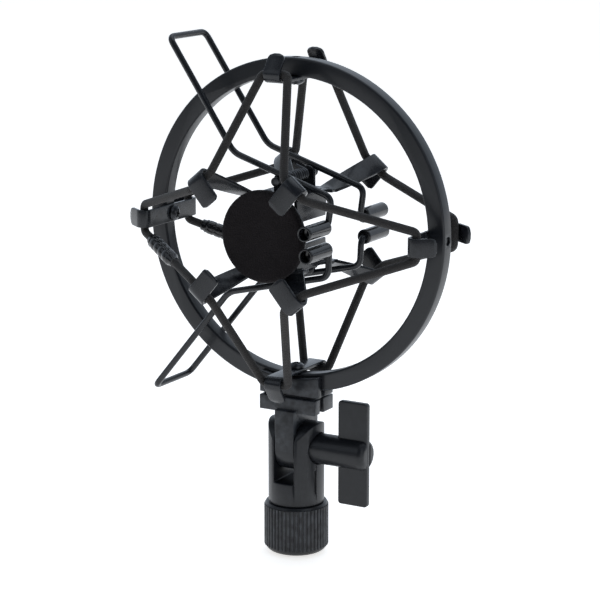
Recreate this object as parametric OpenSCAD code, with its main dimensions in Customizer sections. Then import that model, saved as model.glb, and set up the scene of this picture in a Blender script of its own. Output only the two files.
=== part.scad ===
// Elastic suspension ("spider") holder for a studio microphone.
// Origin: mouth of the stand thread, on the stand axis. +Z up, front faces -Y, +X to the right.

/* [Suspension ring] */
// Outer radius of the ring
ring_r = 60; // [55:0.5:65]
// Radial width of the ring's section
ring_w = 6.5; // [5.5:0.5:7.5]
// Depth of the ring, front to back
ring_t = 6; // [5:0.5:7]

/* [Stand fitting] */
// Radius of the ribbed collar
collar_r = 11.8; // [11:0.25:13]
// Height of the ribbed collar
collar_h = 18.4; // [18.4:0.2:20]
// Number of ribs round the collar
rib_count = 48; // [36:2:60]
// Wall radius of the 5/8 inch stand thread
thread_r = 7.94; // [7.9:0.01:8]
// Depth of the stand thread
thread_depth = 9.6; // [8:0.2:9.6]
// Radius of the swivel body
body_r = 10.2; // [9.8:0.1:10.4]

/* [Tilt joint] */
// Height of the tilt pin above the stand thread's mouth
pivot_z = 39.5; // [38.5:0.5:42]
// Height of the ring's centre above the tilt pin
ring_up = 81; // [81:0.5:84]
// Width of the slot across the swivel body
slot_w = 8.3; // [8.3:0.1:8.6]
// Thickness of the tongue that turns in the slot
tongue_w = 7.8; // [7.4:0.1:7.8]
// Radius of the tongue's round end
tongue_r = 9; // [8.5:0.1:9.2]

/* [Wing screw] */
// Radius of the wing screw's barrel
barrel_r = 5.6; // [5:0.1:5.8]
// Length of the wing, end to end
wing_len = 38.5; // [30:0.5:38.5]
// Width of the wing along the barrel
wing_w = 11.8; // [10:0.2:12]

/* [Cradle] */
// Sideways shift of the cradle from the ring's centre
cradle_dx = -2; // [-3:0.5:0]
// Fore and aft shift of the cradle from the ring's centre
cradle_dy = -1; // [-2:0.5:0]
// Drop of the cradle below the ring's centre
cradle_dz = -1; // [-2:0.5:0]
// Distance of each hook to the side of the cradle's centre
hook_x = 18.5; // [17:0.5:20]
// Distance of each hook in front of or behind the cradle's centre
hook_y = 29.5; // [29:0.5:31]
// Distance of each hook above or below the cradle's centre
hook_z = 19.5; // [19:0.5:21]
// Width of the hook straps
hook_w = 7.2; // [6.5:0.1:7.4]
// Length of a hook's front flap
flap_len = 9; // [7:0.5:10]

/* [Elastic] */
// Radius of the elastic cord
cord_r = 1.5; // [1.2:0.1:1.5]

/* [Clamp] */
// Radius of the lever wire
wire_r = 1.15; // [1:0.05:1.2]
// Half the distance between a lever's two legs
leg_y = 11.7; // [11.7:0.1:12]
// Outer radius of the grip sleeves
sleeve_r = 2.65; // [2.4:0.05:2.8]

/* [Front pad] */
// Radius of the front pad
pad_r = 16.8; // [14:0.2:17]
// Thickness of the front pad
pad_t = 4; // [3:0.5:4.5]

/* [Hidden] */
$fn = 64;

steel_black = [0.06, 0.065, 0.075];
cord_black = [0.09, 0.075, 0.07];
foam_black = [0.03, 0.028, 0.032];
grip_black = [0.05, 0.055, 0.06];
zinc = [0.55, 0.55, 0.56];

gap = 0.05;                      // running clearance of every turning fit
ring_ri = ring_r - ring_w;       // inner radius of the ring
ring_z = pivot_z + ring_up;      // height of the ring's centre
cradle = [cradle_dx, cradle_dy, ring_z + cradle_dz];

// ---- helpers ----

// Straight round bar from p to q
module bar(p, q, r) {
    d = q - p;
    translate(p) rotate([0, acos(d[2] / norm(d)), atan2(d[1], d[0])]) cylinder(h = norm(d), r = r);
}

// Points of an arc about the origin
function arc(r, a0, a1, n = 10) = [for (i = [0 : n]) let (a = a0 + (a1 - a0) * i / n) r * [cos(a), sin(a)]];

function moved(points, by) = [for (p = points) p + by];

// Flat bent strip of thickness t between two angles
module arc_strip(r_in, t, a0, a1) {
    polygon(concat(arc(r_in + t, a0, a1), arc(r_in, a1, a0)));
}

// Rectangle with its two far corners rounded: width w about X = 0, from Y = 0 to len
module round_tab(w, len, r) {
    polygon(concat(
        [[-w / 2, 0], [w / 2, 0]],
        moved(arc(r, 0, 90, 6), [w / 2 - r, len - r]),
        moved(arc(r, 90, 180, 6), [r - w / 2, len - r])
    ));
}

function unit(v) = v / norm(v);

// Points of a path with its inner corners rounded by short curves, cut back by d from each corner
function rounded(path, d, n = 4) = [
    for (i = [0 : len(path) - 1])
        if (i == 0 || i == len(path) - 1) path[i]
        else for (k = [0 : n]) let (
            p = path[i],
            a = p + min(d, norm(path[i - 1] - p) / 2.2) * unit(path[i - 1] - p),
            b = p + min(d, norm(path[i + 1] - p) / 2.2) * unit(path[i + 1] - p),
            t = k / n
        ) (1 - t) * (1 - t) * a + 2 * t * (1 - t) * p + t * t * b
];

// Same for a closed path
function rounded_loop(path, d, n = 3) = [
    for (i = [0 : len(path) - 1], k = [0 : n]) let (
        m = len(path),
        p = path[i],
        u = path[(i + m - 1) % m] - p,
        v = path[(i + 1) % m] - p,
        a = p + min(d, norm(u) / 2.2) * unit(u),
        b = p + min(d, norm(v) / 2.2) * unit(v),
        t = k / n
    ) (1 - t) * (1 - t) * a + 2 * t * (1 - t) * p + t * t * b
];

// One ring of points round a path point, square to the tangent. The side vectors are taken
// from the axis that the path never runs along.
function hoop(p, tangent, r, sides, axis) = let (
    s = unit(cross(tangent, axis)),
    u = cross(s, unit(tangent))
) [for (k = [0 : sides - 1]) p + r * (cos(360 * k / sides) * s + sin(360 * k / sides) * u)];

// Round tube swept along open path points; axis may change from point to point
module sweep(path, r, sides, axes) {
    n = len(path);
    pts = [for (i = [0 : n - 1]) each hoop(path[i], path[min(i + 1, n - 1)] - path[max(i - 1, 0)], r,
                                           sides, axes[i])];
    faces = concat(
        [[for (k = [0 : sides - 1]) k]],
        [for (i = [0 : n - 2], k = [0 : sides - 1]) let (j = (k + 1) % sides)
            [i * sides + k, (i + 1) * sides + k, (i + 1) * sides + j, i * sides + j]],
        [[for (k = [sides - 1 : -1 : 0]) (n - 1) * sides + k]]
    );
    polyhedron(pts, faces, convexity = 6);
}

// Round tube swept round a closed path that never runs along the axis
module sweep_loop(path, r, sides, axis) {
    n = len(path);
    pts = [for (i = [0 : n - 1]) each hoop(path[i], path[(i + 1) % n] - path[(i + n - 1) % n], r,
                                           sides, axis)];
    faces = [for (i = [0 : n - 1], k = [0 : sides - 1]) let (j = (k + 1) % sides, m = (i + 1) % n)
        [i * sides + k, m * sides + k, m * sides + j, i * sides + j]];
    polyhedron(pts, faces, convexity = 8);
}

// ---- stand collar ----

lip_h = 1.9;                     // thickness of the collar's top lip
neck_r = 8.1;                    // radius of the swivel body's neck
cavity_r = 9.3;                  // radius of the space for the retaining ring
bottom_round = 2.6;              // rounding of the collar's foot

module collar_outline() {
    intersection() {
        translate([0, 0]) square([collar_r, collar_h]);
        union() {
            translate([0, bottom_round]) square([collar_r, collar_h]);
            square([collar_r - bottom_round, collar_h]);
            translate([collar_r - bottom_round, bottom_round]) circle(bottom_round);
        }
    }
}

module stand_collar() {
    groove_r = 0.42;             // radius of the grooves between the ribs
    color(steel_black) difference() {
        rotate_extrude($fn = 96) collar_outline();
        translate([0, 0, -1]) cylinder(h = thread_depth + 1, r = thread_r);
        translate([0, 0, thread_depth - 0.01]) cylinder(h = collar_h - lip_h - thread_depth + 0.01, r = cavity_r);
        translate([0, 0, collar_h - lip_h - 0.5]) cylinder(h = lip_h + 1, r = neck_r + gap);
        for (k = [0 : rib_count - 1]) rotate(360 * k / rib_count)
            translate([collar_r + 0.12, 0, -1]) cylinder(h = collar_h + 0.2, r = groove_r, $fn = 16);
        translate([0, 0, collar_h - 0.8]) difference() {
            cylinder(h = 2, r = collar_r + 1);
            translate([0, 0, -0.01]) cylinder(h = 3, r = collar_r - 0.55);
        }
    }
}

// ---- swivel body ----

body_z = collar_h + 0.1;         // underside of the swivel body's shoulder
ear_r = 9.7;                     // radius of the ears' round tops about the tilt pin
slot_floor = pivot_z - 12.5;     // floor of the slot
shaft_r = 2.95;                  // radius of the M6 shaft
seat_x = 8.1;                    // seat of the wing screw's barrel
nut_flat = 10;                   // width across the nut's flats
nut_in_x = -5;                   // inner face of the nut pocket
neck_z = 11;                     // foot of the neck
clip_z = collar_h - lip_h - 1.3; // foot of the retaining ring's groove

module body_outline() {
    translate([0, body_z]) square([body_r, pivot_z + 12 - body_z]);
    translate([0, neck_z]) square([neck_r, body_z - neck_z + 0.01]);
}

// Everything below the pin's height, and a round head above it
module ear_tops() {
    translate([-20, -20, 0]) cube([40, 40, pivot_z]);
    translate([-20, 0, pivot_z]) rotate([0, 90, 0]) cylinder(h = 40, r = ear_r);
}

module swivel_body() {
    color(steel_black) difference() {
        intersection() {
            rotate_extrude($fn = 96) body_outline();
            ear_tops();
        }
        // slot for the tongue, open to front, back and top
        translate([-slot_w / 2, -15, slot_floor]) cube([slot_w, 30, 40]);
        // bore for the screw shaft
        translate([0, 0, pivot_z]) rotate([0, 90, 0]) cylinder(h = 30, r = shaft_r + gap);
        translate([nut_in_x - 1, 0, pivot_z]) rotate([0, 90, 0]) cylinder(h = 5, r = shaft_r + gap);
        // seat of the barrel
        translate([seat_x, 0, pivot_z]) rotate([0, 90, 0]) cylinder(h = 10, r = barrel_r + 0.2);
        // six-sided pocket for the nut
        translate([nut_in_x, 0, pivot_z]) rotate([0, -90, 0])
            cylinder(h = 10, r = nut_flat / 2 / cos(30) + 0.05, $fn = 6);
        // relief slit under the barrel
        rotate(-17) translate([body_r - 1, -0.3, pivot_z - 16.3]) cube([3, 0.6, 8.6]);
        // groove for the retaining ring
        translate([0, 0, clip_z]) difference() {
            cylinder(h = 1, r = neck_r + 1);
            translate([0, 0, -1]) cylinder(h = 3, r = neck_r - 0.7);
        }
        // hollow of the neck
        translate([0, 0, neck_z - 1]) cylinder(h = 12, r = 4);
    }
}

module retaining_ring() {
    color(zinc) translate([0, 0, clip_z + 0.05]) difference() {
        cylinder(h = 0.9, r = cavity_r - 0.3);
        translate([0, 0, -1]) cylinder(h = 3, r = neck_r - 0.65);
        translate([0, -1.5, -1]) cube([20, 3, 3]);
    }
}

module clamp_nut() {
    color(zinc) translate([nut_in_x - 0.02, 0, pivot_z]) rotate([0, -90, 0]) difference() {
        cylinder(h = 3.6, r = nut_flat / 2 / cos(30), $fn = 6);
        translate([0, 0, -1]) cylinder(h = 8, r = shaft_r + gap);
    }
}

// ---- wing screw ----

barrel_end = 29.9;               // outer end of the barrel
wing_x = barrel_end - 0.2 - wing_w;
wing_t = 2.4;                    // thickness of the wing
barrel_round = 2.4;              // rounding of the barrel's outer end

module barrel_outline() {
    len = barrel_end - seat_x - 0.06;
    square([barrel_r - barrel_round, len]);
    square([barrel_r, len - barrel_round]);
    translate([barrel_r - barrel_round, len - barrel_round]) circle(barrel_round);
}

module wing_barrel() {
    color(steel_black) difference() {
        union() {
            translate([seat_x + 0.06, 0, pivot_z]) rotate([0, 90, 0])
                rotate_extrude() intersection() {
                    barrel_outline();
                    square([20, 40]);
                }
            translate([-8.2, 0, pivot_z]) rotate([0, 90, 0]) cylinder(h = 8.2 + seat_x + 1, r = shaft_r);
        }
        translate([wing_x, -wing_t / 2, pivot_z - 10]) cube([20, wing_t, 20]);
    }
}

module wing_plate() {
    corner = 1.2;
    color(steel_black) translate([wing_x, wing_t / 2, pivot_z - wing_len / 2]) rotate([90, 0, 0])
        linear_extrude(wing_t) union() {
            translate([corner, 0]) square([wing_w - 2 * corner, wing_len]);
            translate([0, corner]) square([wing_w, wing_len - 2 * corner]);
            for (x = [corner, wing_w - corner], y = [corner, wing_len - corner]) translate([x, y]) circle(corner);
        }
}

// ---- yoke and ring ----

block_half = 11.5;               // half length of the yoke's block
block_bottom = ring_z - ring_r - 7.3;  // underside of the block
block_h = 5.4;                   // height of the block
block_y = 6.8;                   // half depth of the block
cheek_half = 12.1;               // half length of the cheeks
cheek_y = 5.6;                   // half depth over the two cheeks
channel_y = ring_t / 2 + 0.05;   // half width of the channel for the ring
cheek_top_r = ring_ri + 1.2;     // radius of the cheeks' top edge about the ring's centre
waist_h = 0.7;                   // height of the waist between block and cheeks

module ring_yoke() {
    color(steel_black) difference() {
        union() {
            // tongue
            translate([-tongue_w / 2, 0, pivot_z]) rotate([0, 90, 0]) cylinder(h = tongue_w, r = tongue_r);
            translate([-tongue_w / 2, -tongue_r, pivot_z])
                cube([tongue_w, 2 * tongue_r, block_bottom - pivot_z + 1]);
            // block
            translate([-block_half, -block_y, block_bottom]) cube([2 * block_half, 2 * block_y, block_h]);
            // waist
            translate([-block_half + 0.8, -cheek_y + 0.6, block_bottom + block_h])
                cube([2 * block_half - 1.6, 2 * cheek_y - 1.2, waist_h]);
            // cheeks either side of the ring
            difference() {
                translate([-cheek_half, -cheek_y, block_bottom + block_h + waist_h])
                    cube([2 * cheek_half, 2 * cheek_y, 10]);
                translate([0, -20, ring_z]) rotate([-90, 0, 0]) cylinder(h = 40, r = cheek_top_r, $fn = 180);
            }
        }
        // channel for the ring
        translate([0, -channel_y, ring_z]) rotate([-90, 0, 0])
            cylinder(h = 2 * channel_y, r = ring_r + 0.05, $fn = 180);
        // bore for the tilt shaft
        translate([-10, 0, pivot_z]) rotate([0, 90, 0]) cylinder(h = 20, r = shaft_r + gap);
        // grooves in the block's two ends
        for (sx = [-1, 1]) translate([sx * block_half - 1.4, -2.9, block_bottom - 1]) cube([2.8, 2.5, 20]);
        // thread for the yoke screw
        translate([0, 0, ring_z - ring_r - 6.5]) cylinder(h = 10, r = 1.5);
    }
}

module suspension_ring() {
    edge = 0.5;
    color(steel_black) difference() {
        translate([0, 0, ring_z]) rotate([90, 0, 0]) rotate_extrude($fn = 180)
            translate([ring_ri, -ring_t / 2]) polygon([
                [edge, 0], [ring_w - edge, 0], [ring_w, edge], [ring_w, ring_t - edge],
                [ring_w - edge, ring_t], [edge, ring_t], [0, ring_t - edge], [0, edge]]);
        for (a = [0, 90, 180, 270]) translate([0, 0, ring_z]) rotate([0, a, 0])
            translate([0, 0, ring_ri - 2]) cylinder(h = 12, r = 1.5);
    }
}

// ---- cord brackets: strap inside the ring, folded back over the cord at both ends ----

strap_w = 6.5;
strap_t = 1.2;
fold_r = 1.8;                    // inner radius of the fold
fold_y = 14.5;                   // fold centre, in front of and behind the ring
fold_turn = 125;                 // angle that the strap turns through
tab_len = 6.6;                   // straight length of the tab after the fold
strap_seat = ring_ri - 0.12;     // radius of the strap's outer face

// Moves things from bracket axes (X outward, Y to the back, Z along the ring) to one of the four places
module at_bracket(a) {
    translate([0, 0, ring_z]) rotate([0, -a, 0]) translate([strap_seat, 0, 0]) children();
}

module cord_bracket() {
    difference() {
        union() {
            translate([-strap_t, -fold_y, -strap_w / 2]) cube([strap_t, 2 * fold_y, strap_w]);
            for (s = [0, 1]) mirror([0, s, 0]) translate([fold_r, -fold_y, 0]) {
                linear_extrude(strap_w, center = true) arc_strip(fold_r, strap_t, 180, 180 + fold_turn);
                rotate(180 + fold_turn) translate([fold_r, 0, 0]) rotate([0, 90, 0])
                    linear_extrude(strap_t) round_tab(strap_w, tab_len, 2);
            }
        }
        translate([-5, 0, 0]) rotate([0, 90, 0]) cylinder(h = 10, r = 1.6);
    }
}

module bracket_top() { color(steel_black) at_bracket(90) cord_bracket(); }
module bracket_bottom() { color(steel_black) at_bracket(-90) cord_bracket(); }
module bracket_left() { color(steel_black) at_bracket(180) cord_bracket(); }
module bracket_right() { color(steel_black) at_bracket(0) cord_bracket(); }

// Pan head screw with a cross recess: head on the strap's inner face, shaft outward along +X
module pan_screw(len) {
    head_r = 2.9;
    head_h = 2.1;
    translate([-strap_t, 0, 0]) rotate([0, 90, 0]) difference() {
        union() {
            translate([0, 0, -head_h]) intersection() {
                cylinder(h = head_h, r = head_r);
                translate([0, 0, 4.1]) sphere(r = 4.1 + 0.02, $fn = 48);
            }
            cylinder(h = len, r = 1.45);
        }
        for (a = [0, 90]) rotate(a + 20) translate([-1.6, -0.35, -head_h - 0.1]) cube([3.2, 0.7, 1.3]);
    }
}

module bracket_screws() { color(zinc) for (a = [0, 90, 180]) at_bracket(a) pan_screw(7.2); }
module yoke_screw() { color(zinc) at_bracket(-90) pan_screw(13.2); }

// ---- elastic loops ----

tilt = 50;                       // slope of the hooks' outward direction above the horizontal
fold_in = fold_r + strap_seat;   // radius of the cord where it passes a bracket
mouth = 5;                       // half length of the straight stretch through a fold

// Direction across the hook's opening, and the hook's place, in quadrant [sx, sz]
function strap_dir(sx, sz) = [sx * sin(tilt), 0, -sz * cos(tilt)];
function hook_at(sx, sy, sz) = cradle + [sx * hook_x, sy * hook_y, sz * hook_z];
function at_ring(a, along, sy) = [
    fold_in * cos(a) - along * sin(a), sy * fold_y, ring_z + fold_in * sin(a) + along * cos(a)];

// Corner points of one loop: bracket, hook, bracket ... going round from the right bracket
function loop_points(sy) = [
    for (q = [[1, 1, 0], [-1, 1, 90], [-1, -1, 180], [1, -1, 270]]) let (
        h = hook_at(q[0], sy, q[1]),
        d = mouth * strap_dir(q[0], q[1]),
        first = (q[2] % 180 == 0) ? 1 : -1
    ) each [at_ring(q[2], -mouth, sy), at_ring(q[2], mouth, sy), h + first * d, h - first * d]
];

module elastic_loop(sy) {
    color(cord_black) sweep_loop(rounded_loop(loop_points(sy), 1.6), cord_r, 8, [0, 1, 0]);
}
module elastic_loop_front() { elastic_loop(-1); }
module elastic_loop_back() { elastic_loop(1); }

// Moulded sleeve that joins the loop's two ends, between the left bracket and the lower left hook
module cord_sleeve(sy) {
    p = loop_points(sy)[9];
    q = loop_points(sy)[10];
    color(grip_black) difference() {
        union() {
            bar(p + 0.2 * (q - p), p + 0.58 * (q - p), 2.6);
            bar(p + 0.15 * (q - p), p + 0.64 * (q - p), 2.1);
        }
        bar(p, q, cord_r + 0.02);
    }
}
module cord_sleeve_front() { cord_sleeve(-1); }
module cord_sleeve_back() { cord_sleeve(1); }

// ---- cradle plates ----

plate_t = 1.2;
plate_z = 13;                    // mid height of a plate above the cradle's centre
web_x = 12;                      // half width of a plate's web
web_y = 13.8;                    // half depth of a plate's web
arm_x = web_x - hook_w / 2;      // where an arm leaves the web
hook_r = 2;                      // inner radius of a hook
skin = 0.03;                     // how far an arm stays inside the faces that it joins
pin_r = 1.05;
ear_y = 9.5;                     // middle of the ears
pin_x = 2;                       // both pivot pins, sideways from the cradle's centre
bush_r = 1.6;                    // outer radius of the lever bushes

// Pins lie under the levers' legs, so that each bush touches the wire; heights are from the
// cradle's centre, downwards for the lower lever
function leg_slope(path) = (path[2][1] - path[1][1]) / (path[2][0] - path[1][0]);
function pin_under(path) = [pin_x, path[1][1] + (pin_x - path[1][0]) * leg_slope(path)
                            - (bush_r + wire_r + 0.02) / cos(atan(leg_slope(path)))];

// A hook: X outward, Y to the front, Z along the strap; its bend is centred on the origin
module hook() {
    linear_extrude(hook_w, center = true) {
        arc_strip(hook_r, plate_t, -30, 90);
        rotate(-30) translate([hook_r, -2]) square([plate_t, 2]);
    }
    // flap in front of the cord
    translate([0, hook_r + plate_t, 0]) rotate([90, 0, 0]) linear_extrude(plate_t)
        rotate(90) round_tab(hook_w, flap_len, 1.2);
}

module at_hook(sx, sy) {
    translate([sx * hook_x, sy * hook_y, hook_z]) mirror([sx < 0 ? 1 : 0, 0, 0])
        mirror([0, sy < 0 ? 1 : 0, 0]) rotate([0, -tilt, 0]) children();
}

module web_outline() {
    polygon([[-web_x, -web_y], [web_x, -web_y], [web_x - 3, -6], [web_x - 3, 6], [web_x, web_y],
             [-web_x, web_y], [-web_x + 3, 6], [-web_x + 3, -6]]);
}

module ear(pin) {
    ear_r = 2.8;
    rotate([90, 0, 0]) linear_extrude(plate_t, center = true) difference() {
        polygon(concat(
            [[pin[0] - ear_r, plate_z], [pin[0] + ear_r, plate_z]],
            moved(arc(ear_r, 0, 180, 16), pin)
        ));
        translate(pin) circle(pin_r + gap);
    }
}

// Side lips, bent towards the cradle's centre
module side_lip() {
    translate([web_x - 3 - plate_t, 0, 0]) rotate([90, 0, 90]) linear_extrude(plate_t)
        polygon([[-11, plate_z + plate_t / 2], [11, plate_z + plate_t / 2],
                 [10, plate_z - 9], [-10, plate_z - 9]]);
}

// The plate has a window where its spring's coil dips below its outer face
module cradle_plate(pin) {
    dips = pin[1] - coil_r - coil_wire < plate_z + plate_t / 2;
    difference() {
        union() {
            translate([0, 0, plate_z - plate_t / 2]) linear_extrude(plate_t) web_outline();
            for (sx = [-1, 1], sy = [-1, 1]) {
                at_hook(sx, sy) hook();
                // arm, a hair inside the faces that it joins
                hull() {
                    translate([sx * arm_x - hook_w / 2 + skin, sy * (web_y - 1.5) - 0.3, plate_z - plate_t / 2 + skin])
                        cube([hook_w - 2 * skin, 0.6, plate_t - 2 * skin]);
                    at_hook(sx, sy) rotate(-30) translate([hook_r + skin, -1.2, -hook_w / 2 + skin])
                        cube([plate_t - 2 * skin, 0.4, hook_w - 2 * skin]);
                }
            }
            for (s = [-1, 1]) translate([0, s * ear_y, 0]) ear(pin);
            for (s = [0, 1]) mirror([s, 0, 0]) side_lip();
        }
        // rivet hole
        translate([-5, -7, 0]) cylinder(h = 30, r = 1.5);
        if (dips) translate([pin[0] - coil_room, -coil_half - 1, 0]) cube([2 * coil_room, 2 * coil_half + 2, 30]);
        // lightening holes
        for (s = [-1, 1]) translate([s * 6.5, 9.8, 0]) cylinder(h = 30, r = 1.9);
    }
}

module cradle_upper_plate() { color(steel_black) translate(cradle) cradle_plate(upper_pin); }
module cradle_lower_plate() { color(steel_black) translate(cradle) mirror([0, 0, 1]) cradle_plate(lower_pin); }

// ---- centre bracket, rivets and front pad ----

spine_y = -12.4;                 // front face of the centre bracket
spine_z = plate_z - plate_t / 2; // its half height
backing_y = -15.3;               // back face of the pad's backing plate
backing_t = 1.2;

module centre_bracket() {
    color(steel_black) translate(cradle) difference() {
        union() {
            translate([-7.6, spine_y, -spine_z]) cube([12.6, plate_t, 2 * spine_z]);
            for (z = [-spine_z, spine_z - plate_t]) translate([-7.6, spine_y, z]) cube([12.6, 9.4, plate_t]);
        }
        translate([-5, -7, -20]) cylinder(h = 40, r = 1.5);
        translate([0, -20, 0]) rotate([-90, 0, 0]) cylinder(h = 20, r = 2);
    }
}

module plate_rivets() {
    grip = 2 * plate_t;          // thickness that a rivet holds together
    color(zinc) translate(cradle) for (s = [0, 1]) mirror([0, 0, s])
        translate([-5, -7, spine_z - plate_t]) {
            cylinder(h = grip, r = 1.48);
            for (m = [[grip, 1], [0, -1]]) translate([0, 0, m[0]]) intersection() {
                translate([0, 0, -m[1] * 1.9]) sphere(r = 2.9, $fn = 48);
                translate([-5, -5, m[1] > 0 ? 0 : -5]) cube([10, 10, 5]);
            }
        }
}

module pad_backing() {
    color(steel_black) translate(cradle + [0, backing_y - backing_t, 0]) rotate([-90, 0, 0]) difference() {
        cylinder(h = backing_t, r = pad_r - 1.3);
        translate([0, 0, -1]) cylinder(h = 5, r = 2);
    }
}

module pad_spacer() {
    color(steel_black) translate(cradle + [0, backing_y, 0]) rotate([-90, 0, 0]) difference() {
        cylinder(h = spine_y - backing_y, r = 4);
        translate([0, 0, -1]) cylinder(h = 5, r = 2);
    }
}

module pad_screw() {
    color(zinc) translate(cradle + [0, spine_y + plate_t, 0]) rotate([90, 0, 0]) {
        cylinder(h = plate_t + spine_y - backing_y + backing_t, r = 1.95);
        translate([0, 0, -2.2]) difference() {
            cylinder(h = 2.2, r = 3.4);
            for (a = [0, 90]) rotate(a) translate([-2, -0.4, -0.1]) cube([4, 0.8, 1.3]);
        }
    }
}

module front_pad() {
    edge = 1.4;                  // rounding of the pad's front rim
    color(foam_black) translate(cradle + [0, backing_y - backing_t, 0]) rotate([90, 0, 0])
        rotate_extrude($fn = 96) {
            square([pad_r, pad_t - edge]);
            square([pad_r - edge, pad_t]);
            translate([pad_r - edge, pad_t - edge]) intersection() {
                circle(edge);
                square(edge);
            }
        }
}

// ---- levers ----

// One leg of each lever, from the jaw to the handle: X and height from the cradle's centre
upper_path = [[22, 4.4], [23.4, 14.7], [-16.1, 27.5], [-42.5, 66.8]];
lower_path = [[22.5, 3.3], [22.1, 13.5], [-18.5, 23], [-50.8, 62]];
upper_pin = pin_under(upper_path);
lower_pin = pin_under(lower_path);
grip_front = 28.5;               // front end of the front grips, from the cradle's centre
grip_len = 15;                   // length of a grip
wire_in = 4;                     // how far a wire's end stops inside its grip

// Whole wire: front jaw, front leg, handle, back leg, back jaw
function lever_points(path) = [
    [path[0][0], -grip_front + wire_in, path[0][1]],
    for (i = [0 : 3]) [path[i][0], -leg_y, path[i][1]],
    for (i = [3 : -1 : 0]) [path[i][0], leg_y, path[i][1]],
    [path[0][0], grip_front - wire_in, path[0][1]]
];

// The side vectors come from one slanted axis that no stretch of the wire runs along
module lever_wire(path) {
    pts = rounded(lever_points(path), 3);
    sweep(pts, wire_r, 10, [for (p = pts) [0.35, 0.2, 1]]);
}

module upper_lever_wire() { color(steel_black) translate(cradle) lever_wire(upper_path); }
module lower_lever_wire() { color(steel_black) translate(cradle) mirror([0, 0, 1]) lever_wire(lower_path); }

bush_y = [10.45, 12.95];         // ends of a bush, from the cradle's centre

module bushes(pin) {
    for (s = [0, 1]) mirror([0, s, 0]) translate([pin[0], bush_y[1], pin[1]]) rotate([90, 0, 0]) difference() {
        cylinder(h = bush_y[1] - bush_y[0], r = bush_r);
        translate([0, 0, -1]) cylinder(h = 5, r = pin_r + gap);
    }
}
module upper_lever_bushes() { color(steel_black) translate(cradle) bushes(upper_pin); }
module lower_lever_bushes() { color(steel_black) translate(cradle) mirror([0, 0, 1]) bushes(lower_pin); }

module pivot_pin(pin) {
    half = bush_y[1] + 0.3;
    translate([pin[0], half, pin[1]]) rotate([90, 0, 0]) {
        cylinder(h = 2 * half, r = pin_r);
        for (z = [-0.7, 2 * half]) translate([0, 0, z]) cylinder(h = 0.7, r = bush_r);
    }
}
module upper_pivot_pin() { color(zinc) translate(cradle) pivot_pin(upper_pin); }
module lower_pivot_pin() { color(zinc) translate(cradle) mirror([0, 0, 1]) pivot_pin(lower_pin); }

// Torsion spring: coil round the pin, with a short straight tail at each end
coil_turns = 8.5;
coil_r = 1.9;                    // mean radius of the coil
coil_wire = 0.45;                // radius of the spring wire
coil_half = 6.2;                 // half length of the coil
coil_start = -110;               // angle at which the coil starts
coil_room = 2.8;                 // half width of the coil's window
tail_len = [2.5, 4];             // lengths of the two tails

module torsion_spring(pin) {
    n = coil_turns * 12;
    start = coil_start;
    end = coil_start + 360 * coil_turns;
    coil = [for (i = [0 : n]) let (a = start + 30 * i) [
        pin[0] + coil_r * cos(a), -coil_half + 2 * coil_half * i / n, pin[1] + coil_r * sin(a)]];
    pts = concat(
        [coil[0] + tail_len[0] * [sin(start), 0, -cos(start)]],
        coil,
        [coil[n] + tail_len[1] * [-sin(end), 0, cos(end)]]
    );
    sweep(pts, coil_wire, 6, [for (p = pts) [0, 1, 0]]);
}
module upper_torsion_spring() { color(zinc) translate(cradle) torsion_spring(upper_pin); }
module lower_torsion_spring() {
    color(zinc) translate(cradle) mirror([0, 0, 1]) torsion_spring(lower_pin);
}

// Grip sleeve on a jaw bar, open at its outer end and notched where the wire comes in
module grip(path, s) {
    mirror([0, s, 0]) translate([path[0][0], -grip_front, path[0][1]]) rotate([-90, 0, 0]) difference() {
        cylinder(h = grip_len, r = sleeve_r);
        translate([0, 0, wire_in - 0.5]) cylinder(h = grip_len, r = wire_r + 0.1);
        translate([0, 0, -1]) cylinder(h = wire_in + 0.5, r = 2);
        translate([-1.5, -4, grip_front - leg_y - 4]) cube([3, 4, 8]);
    }
}
module upper_grip_front() { color(grip_black) translate(cradle) grip(upper_path, 0); }
module upper_grip_back() { color(grip_black) translate(cradle) grip(upper_path, 1); }
module lower_grip_front() { color(grip_black) translate(cradle) mirror([0, 0, 1]) grip(lower_path, 0); }
module lower_grip_back() { color(grip_black) translate(cradle) mirror([0, 0, 1]) grip(lower_path, 1); }

// ---- assembly ----

stand_collar();
swivel_body();
retaining_ring();
clamp_nut();
wing_barrel();
wing_plate();
ring_yoke();
suspension_ring();
bracket_top();
bracket_bottom();
bracket_left();
bracket_right();
bracket_screws();
yoke_screw();
elastic_loop_front();
elastic_loop_back();
cord_sleeve_front();
cord_sleeve_back();
cradle_upper_plate();
cradle_lower_plate();
centre_bracket();
plate_rivets();
pad_backing();
pad_spacer();
pad_screw();
front_pad();
upper_pivot_pin();
lower_pivot_pin();
upper_torsion_spring();
lower_torsion_spring();
upper_lever_wire();
lower_lever_wire();
upper_lever_bushes();
lower_lever_bushes();
upper_grip_front();
upper_grip_back();
lower_grip_front();
lower_grip_back();
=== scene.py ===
"""Finished pieces of an elastic microphone shock mount, built on its fixed frame."""

import math

import bmesh
import bpy
from bpy.props import FloatProperty, FloatVectorProperty, IntProperty, PointerProperty
from bpy.types import Operator, Panel, PropertyGroup
from mathutils import Matrix, Vector


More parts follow.
